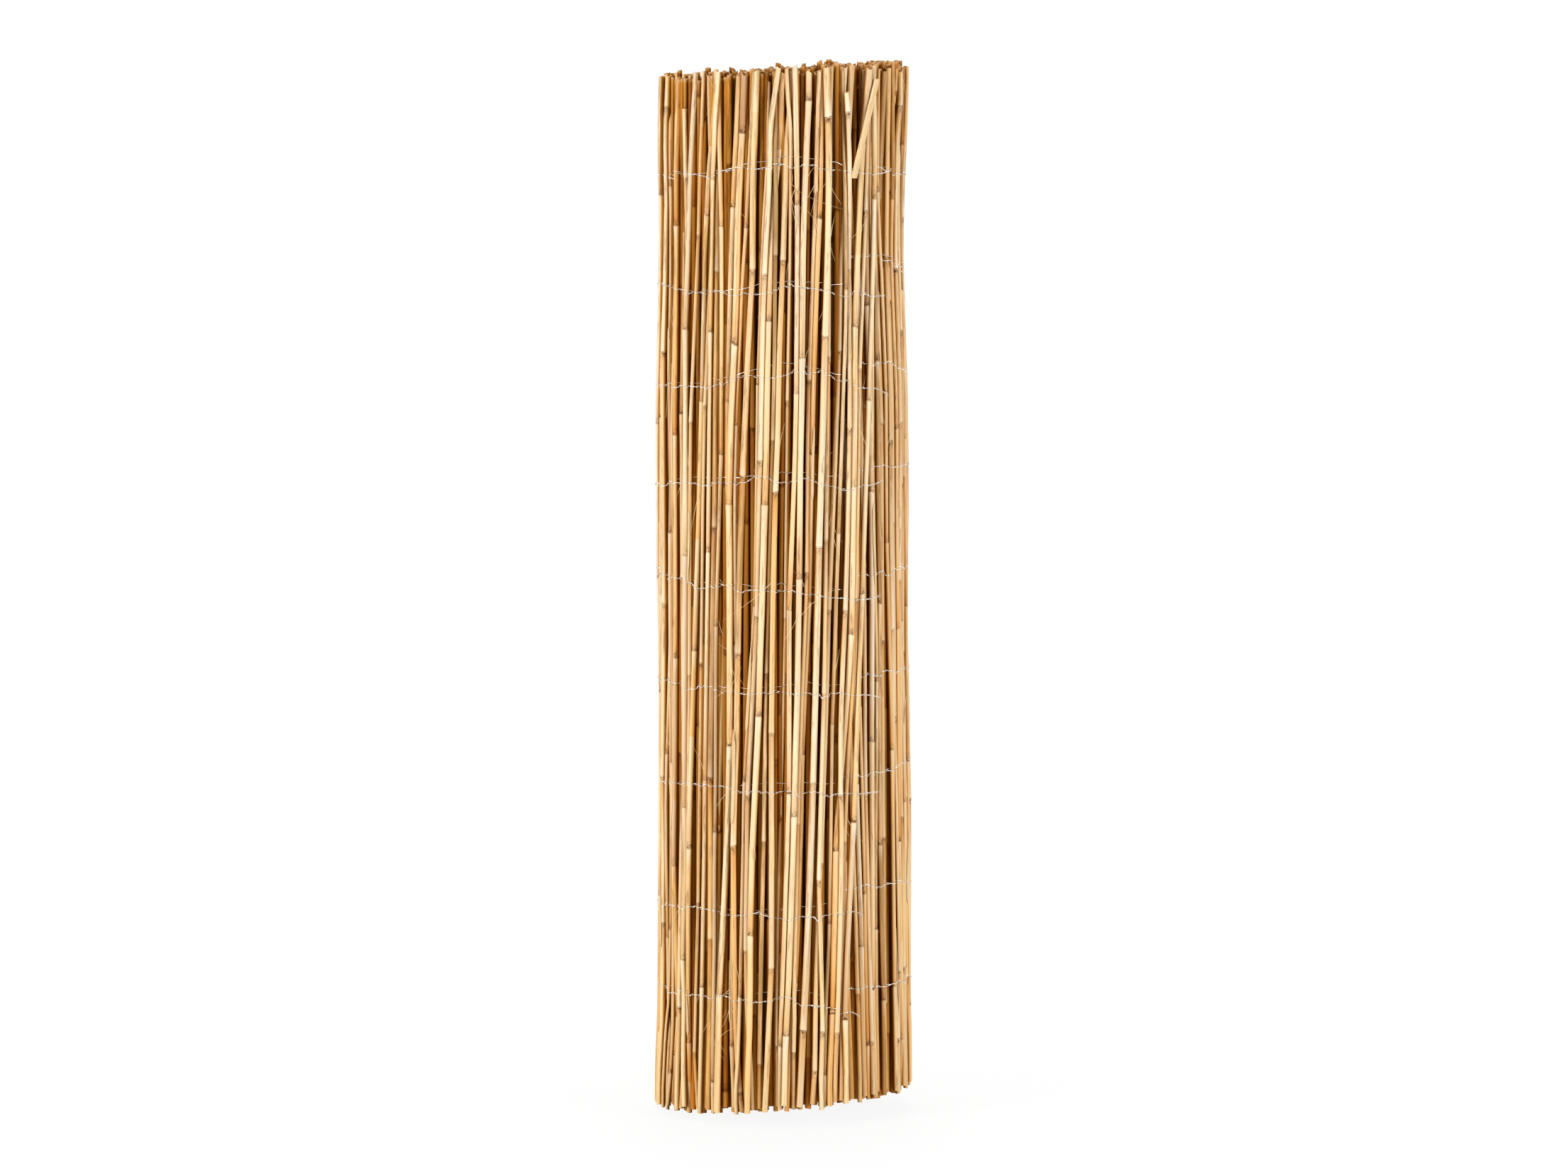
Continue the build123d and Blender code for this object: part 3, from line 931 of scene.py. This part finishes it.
def twistStrands(course):
    steps = lengthsAlong(course)
    stations = np.arange(0, steps[-1], wires["pitch"] / wires["stepsPerTurn"])
    middle = valuesAlong(stations, steps, course)
    along = np.gradient(middle, axis=0)
    across = unit(np.cross(along, up))
    rise = unit(np.cross(across, along))
    strands = []
    for phase in (0, math.pi):
        twist = 2 * math.pi * stations / wires["pitch"] + phase
        offset = np.cos(twist)[:, None] * across + np.sin(twist)[:, None] * rise
        strands.append(list(middle + offset * wires["radius"]))
    return strands


def innerWire(row, random):  # the same row on the turn underneath, seen through the gaps
    points = []
    for angle, direction, reach in nearReeds:
        degrees = (angle - 360) % 360
        height = evenHeights(row, degrees) + np.interp(degrees, wires["innerRiseAt"], wires["innerRise"])
        height += random.normal(0, wires["innerWander"])
        points.append(np.array([*axisXY, height]) + direction * reach)
    return points


def makeTails(crossing, clear, random):  # the ends of the two strands, from the loose edge out
    middle, size, direction = crossing
    leftward = -rightOf(direction)
    start = middle + leftward * (size + wires["radius"] * wires["tailStart"])
    length = random.uniform(*wires["tail"])
    droop = random.uniform(*wires["tailDroop"])
    lift = random.uniform(*wires["tailLift"])
    turns = length / wires["tailPitch"]
    tails = [[], []]
    for k in range(int(turns * wires["tailSteps"]) + 1):
        share = k / (turns * wires["tailSteps"])
        run = length * share
        middle = start + leftward * run + direction * lift * run * share + up * droop * run * share
        fray = 1 + wires["fray"] * max(0, share - wires["frayFrom"])
        for strand in (0, 1):
            twist = 2 * math.pi * turns * share + math.pi * strand
            tails[strand].append(middle + (up * math.sin(twist) + direction * math.cos(twist)) * clear * fray)
    return tails


def wireRow(row, random):
    wander = np.convolve(random.normal(0, wires["wander"], count + 4), [0.25, 0.5, 0.25], "same")[2:-2]
    heights = evenHeights(row, turned) + wander
    crossing = [reedAt(i, heights[i]) for i in range(count)]
    outside, inside = [], []
    clear = wires["radius"] * wires["clear"]
    for i, (middle, size, direction) in enumerate(crossing):
        tangent = rightOf(direction)
        slope = random.normal(0, wires["slope"]) * up
        for degrees in wires["bends"]:
            bend = math.radians(degrees)
            offset = direction * math.cos(bend) + tangent * math.sin(bend)
            outside.append(middle + offset * (size + clear) + slope * math.sin(bend))
        for degrees in wires["innerBends"]:
            bend = math.radians(degrees)
            inside.append(middle + (tangent * math.sin(bend) - direction * math.cos(bend)) * (size + clear))
        if i + 1 < count:
            between = (middle + crossing[i + 1][0]) / 2
            swing = up * clear * wires["swing"] * (1 if (i + row) % 2 else -1)
            outside.append(between + swing)
            inside.append(between - swing)
    tails = makeTails(crossing[0], clear, random)
    strands = [tail[::-1] + strand for tail, strand in zip(tails, twistStrands(np.array(outside)))]
    return [*strands, inside, innerWire(row, random)]


def makeWire(row, random):
    curve = newCurve("wireCourse", wires["radius"])
    for points in wireRow(row, random):
        spline = curve.splines.new("POLY")
        spline.points.add(len(points) - 1)
        spline.points.foreach_set("co", np.array([[*p, 1.0] for p in points]).ravel())
    return meshFromCurve(curve, "twisted_wire_%d" % (row + 1), wireMaterial)


wireRandom = np.random.RandomState(wires["seed"])
for row in range(len(wires["rowDrifts"])):
    wire = makeWire(row, wireRandom)
    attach(wire, "root")
    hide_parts("binding_wire_%d" % (row + 1))
print("wires made:", len(wire.data.polygons), "faces each")


# Torn leaf sheaths, a split reed and loose fibres

strips = dict(
    seed=21,
    across=6,  # faces over the width
    along=24,
    stations=13,  # of a strip's course
    thickness=0.0003,
    count=30,
    heights=(0.08, 0.94),
    length=(0.025, 0.095),
    wrap=(16.0, 52.0),  # half width, in degrees round the reed
    aside=(-0.5, 0.5),  # how far its middle lies to the side of the reed's front
    fullWidth=1.02,
    taper=(1.2, 4.0),  # towards the torn end: a power, the higher the later
    narrowest=0.05,
    rootWidth=0.35,  # at the end that holds on
    rootGrowth=8,
    ragged=0.16,
    grainStep=0.017,
    swell=1.07,  # against the reed's radius
    off=0.0003,
    lift=(0.0002, 0.0020),  # free end off the reed
    placed=(  # across and height of the middle, length, torn end up or down
        (-0.0373, 0.425, 0.085, 1),
        (-0.0632, 0.075, 0.078, -1),
        (-0.0510, 0.130, 0.060, 1),
        (0.0320, 0.640, 0.070, 1),
        (0.0860, 0.560, 0.080, -1),
        (0.0150, 0.930, 0.060, 1),
    ),
    splitAcross=(0.0643, 0.0863),  # a split reed leans across the others, from here to there
    splitHeight=(0.9115, 1.0060),
    splitReach=(0.1275, 0.1305),  # its skin, from the axis
    splitRadius=0.0027,
    splitOff=0.0012,
    splitWrap=58,
    splitIndex=99,
)


def shapeStrip(master, name, course, outwardWay, size, halfAngle, index):  # a strip bent round its course
    grid = readPoints(master.data)
    across, share = grid[:, 0], (grid[:, 1] + 1) / 2
    stations = np.linspace(0, 1, len(course))
    middle = valuesAlong(share, stations, course)
    way = unit(valuesAlong(share, stations, outwardWay))
    turn = np.interp(share, stations, halfAngle) * across
    reach = np.interp(share, stations, size)
    points = middle + reach[:, None] * (np.cos(turn)[:, None] * way + np.sin(turn)[:, None] * rightOf(way))
    piece = shapedCopy(master, name, points)
    space = np.stack([turn * reach + index * strips["grainStep"], reach * 0, middle[:, 2]], axis=1)
    writeAttribute(piece.data, "reedSpace", space, "FLOAT_VECTOR")
    return piece


def reedNear(across, height):  # the outer reed that shows there from the front
    level = np.argmin(np.abs(place[:, :, 2] - height), axis=1)
    middles = place[np.arange(count), level]
    facing = outward[:, middleLevel, 1] < -0.2
    return int(np.argmin(np.abs(middles[:, 0] - across) + np.where(facing, 0, 1)))


def makeSheath(master, number, i, height, length, way, random):
    steps = np.linspace(0, 1, strips["stations"])
    course, radii, outwardWay = (
        np.array(found) for found in zip(*(reedAt(i, height + (step - 0.5) * length * way) for step in steps))
    )
    outwardWay += rightOf(outwardWay) * random.uniform(*strips["aside"])
    ragged = 1 + random.normal(0, strips["ragged"], strips["stations"]) * steps
    taper = np.clip(strips["fullWidth"] - steps ** random.uniform(*strips["taper"]), strips["narrowest"], 1)
    taper *= np.clip(strips["rootWidth"] + steps * strips["rootGrowth"], 0, 1)
    half = np.radians(random.uniform(*strips["wrap"])) * taper * ragged
    lift = random.uniform(*strips["lift"]) * steps ** 3
    size = radii * strips["swell"] + strips["off"] + lift
    return shapeStrip(master, "sheath%02d" % number, course, outwardWay, size, half, number)


def makeSplitReed(master):
    across, height, skin = (
        np.linspace(*strips[name], strips["stations"]) for name in ("splitAcross", "splitHeight", "splitReach")
    )
    ways = np.stack([across / skin, -np.sqrt(1 - (across / skin) ** 2), across * 0], axis=1)
    course = np.stack([
        axisXY[0] + across, axisXY[1] + ways[:, 1] * (skin - strips["splitRadius"]), height,
    ], axis=1)
    size = np.full(strips["stations"], strips["splitRadius"] + strips["splitOff"])
    half = np.full(strips["stations"], math.radians(strips["splitWrap"]))
    return shapeStrip(master, "splitReed", course, ways, size, half, strips["splitIndex"])


def makeStrips():
    random = np.random.RandomState(strips["seed"])
    bpy.ops.mesh.primitive_grid_add(x_subdivisions=strips["across"], y_subdivisions=strips["along"], size=2)
    master = bpy.context.object
    wanted = [(reedNear(x, z), z, length, way) for x, z, length, way in strips["placed"]]
    for _ in range(strips["count"]):
        wanted.append((
            random.randint(2, count - 2), random.uniform(*strips["heights"]), random.uniform(*strips["length"]),
            random.choice((-1, 1)),
        ))
    pieces = [makeSheath(master, number, *strip, random) for number, strip in enumerate(wanted)]
    pieces.append(makeSplitReed(master))
    bpy.data.objects.remove(master)
    joined = joinAll(pieces, "leaf_sheaths")
    solid = joined.modifiers.new("thick", "SOLIDIFY")
    solid.thickness = strips["thickness"]
    bpy.ops.object.modifier_apply(modifier=solid.name)
    joined.data.materials.append(stripMaterial)
    return joined


fibres = dict(
    seed=8,
    thickness=0.00026,
    spots=(  # across, height, how many
        (0.0325, 0.888, 7), (0.0355, 0.862, 6), (0.0075, 0.907, 6), (-0.0590, 0.983, 5), (0.0785, 0.882, 5),
        (0.0735, 0.689, 6), (0.0585, 0.683, 4), (0.0835, 0.676, 5), (0.0998, 0.662, 5), (0.0480, 0.590, 4),
        (-0.0380, 0.440, 8), (-0.0500, 0.130, 5), (-0.0640, 0.085, 6), (0.0630, 0.300, 4), (-0.0200, 0.780, 4),
        (0.1180, 1.004, 10), (0.0200, 0.500, 3), (-0.0900, 0.620, 4),
    ),
    spotSize=(0.004, 0.010),  # across and in height
    scattered=110,
    heights=(0.06, 0.93),  # of the scattered ones
    length=(0.008, 0.034),
    shorterFrom=0.95,  # near the tips they are shorter
    shorter=0.45,
    swing=(-1.1, 1.1),  # radians round the reed where one starts
    sunk=0.98,  # and this share of its radius from its middle
    stray=0.35,  # to the side
    away=(0.02, 0.12),
    bend=(0.8, 0.3),  # to the side, and up or down
    off=(-0.25, 0.10),
    curl=0.55,
    thinner=0.75,  # at their ends
    box=(0.1245, 0.1278),  # they stay within these distances from the middle, sideways and to the front
    heightLimits=(0.0005, 1.0190),
)


def makeFibres():
    random = np.random.RandomState(fibres["seed"])
    curve = newCurve("fibreCourse", fibres["thickness"])
    curve.resolution_u = 4
    starts = []
    for x, z, number in fibres["spots"]:
        for _ in range(number):
            i = reedNear(x + random.normal(0, fibres["spotSize"][0]), z)
            starts.append((i, z + random.normal(0, fibres["spotSize"][1])))
    for _ in range(fibres["scattered"]):
        starts.append((random.randint(0, count), random.uniform(*fibres["heights"])))
    low, high = fibres["heightLimits"]
    corner = np.array(fibres["box"])
    for i, height in starts:
        middle, size, direction = reedAt(i, height)
        tangent = rightOf(direction)
        swing = random.uniform(*fibres["swing"])
        start = middle + (direction * math.cos(swing) + tangent * math.sin(swing)) * size * fibres["sunk"]
        length = random.uniform(*fibres["length"])
        length *= fibres["shorter"] if height > fibres["shorterFrom"] else 1
        along = random.choice((-1, 1)) * up + tangent * random.normal(0, fibres["stray"])
        along = along + direction * random.uniform(*fibres["away"])
        bend = tangent * random.normal(0, fibres["bend"][0]) + direction * random.uniform(*fibres["off"])
        bend = bend + up * random.normal(0, fibres["bend"][1])
        spline = curve.splines.new("NURBS")
        spline.points.add(4)
        for k, point in enumerate(spline.points):
            t = k / 4
            where = start + (along * t + bend * t * t * fibres["curl"]) * length
            point.co = (*np.clip(where, (*-corner, low), (*corner, high)), 1)
            point.radius = 1.0 - fibres["thinner"] * t
        spline.order_u = 3
        spline.use_endpoint_u = True
    return meshFromCurve(curve, "loose_fibres", fibreMaterial)


for piece in (makeStrips(), makeFibres()):
    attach(piece, "root")
    print(piece.name, "made:", len(piece.data.polygons), "faces")


# Floor and light

studio = dict(
    worldStrength=0.155,
    boxes=(  # place, target, size and power
        ((-3.46, -2.7, 1.5), (0, 0, 0.5), (1.0, 2.2), 164.0),
        ((3.46, -2.7, 1.3), (0, 0, 0.5), (1.0, 2.2), 132.0),
        ((0.0, 4.4, 1.5), (0, 0, 0.5), (1.6, 2.2), 130.0),  # lights the back
        ((0.0, 0.4, 4.0), (0, 0, 1.0), (1.2, 1.2), 90.0),
    ),
    shadowReach=(0.15, 0.5),  # the floor shows its shadow near the roll and is plain white farther out
    shadowShare=0.09,
    floorSize=400,
    floorGrey=(0.85, 0.85, 0.85, 1),
)


def addPaper(tree):  # white for the camera but for a faint shadow, grey for the light
    seen = addNode(tree, "LightPath", output="Is Camera Ray")
    place = addNode(tree, "TexCoord", output="Object")
    away = addNode(tree, "VectorMath", [place], output="Value", operation="LENGTH")
    plain = shareOf(tree, seen, (away, *studio["shadowReach"], 1 - studio["shadowShare"], 1.0))
    matt = addNode(tree, "BsdfDiffuse", {"Color": studio["floorGrey"]})
    white = addNode(tree, "Emission", {"Color": (1, 1, 1, 1), "Strength": 1.0})
    return addNode(tree, "MixShader", [plain, matt, white])


def makeFloor():
    bpy.ops.mesh.primitive_plane_add(size=studio["floorSize"], location=(0, 0, 0))
    floor = bpy.context.object
    floor.name = "studio_floor"
    floor.data.materials.append(makeMaterial("whitePaperFloor", addPaper))


def makeWorld():
    world = bpy.data.worlds.new("studioWorld")
    scene.world = world
    world.use_nodes = True
    tree = world.node_tree
    tree.nodes.clear()
    rays = [addNode(tree, "LightPath", output=name) for name in ("Is Camera Ray", "Is Glossy Ray")]
    soft = addNode(tree, "Background", {"Color": (1, 1, 1, 1), "Strength": studio["worldStrength"]})
    white = addNode(tree, "Background", {"Color": (1, 1, 1, 1), "Strength": 1.0})
    mirror = addNode(tree, "Math", rays, operation="MAXIMUM")
    addNode(tree, "OutputWorld", [addNode(tree, "MixShader", [mirror, soft, white])])


def addLamp(name, location, target, size, power):
    bpy.ops.object.light_add(type="AREA", location=location)
    lamp = bpy.context.object
    lamp.name = name
    lamp.data.shape = "RECTANGLE"
    lamp.data.size, lamp.data.size_y = size
    lamp.data.energy = power
    direction = np.array(target) - np.array(location)
    flat = math.hypot(direction[0], direction[1])
    lamp.rotation_euler = (math.atan2(flat, -direction[2]), 0, math.atan2(-direction[0], direction[1]))


makeFloor()
makeWorld()
for number, box in enumerate(studio["boxes"]):
    addLamp("softbox%d" % (number + 1), *box)
print("floor and lamps made")
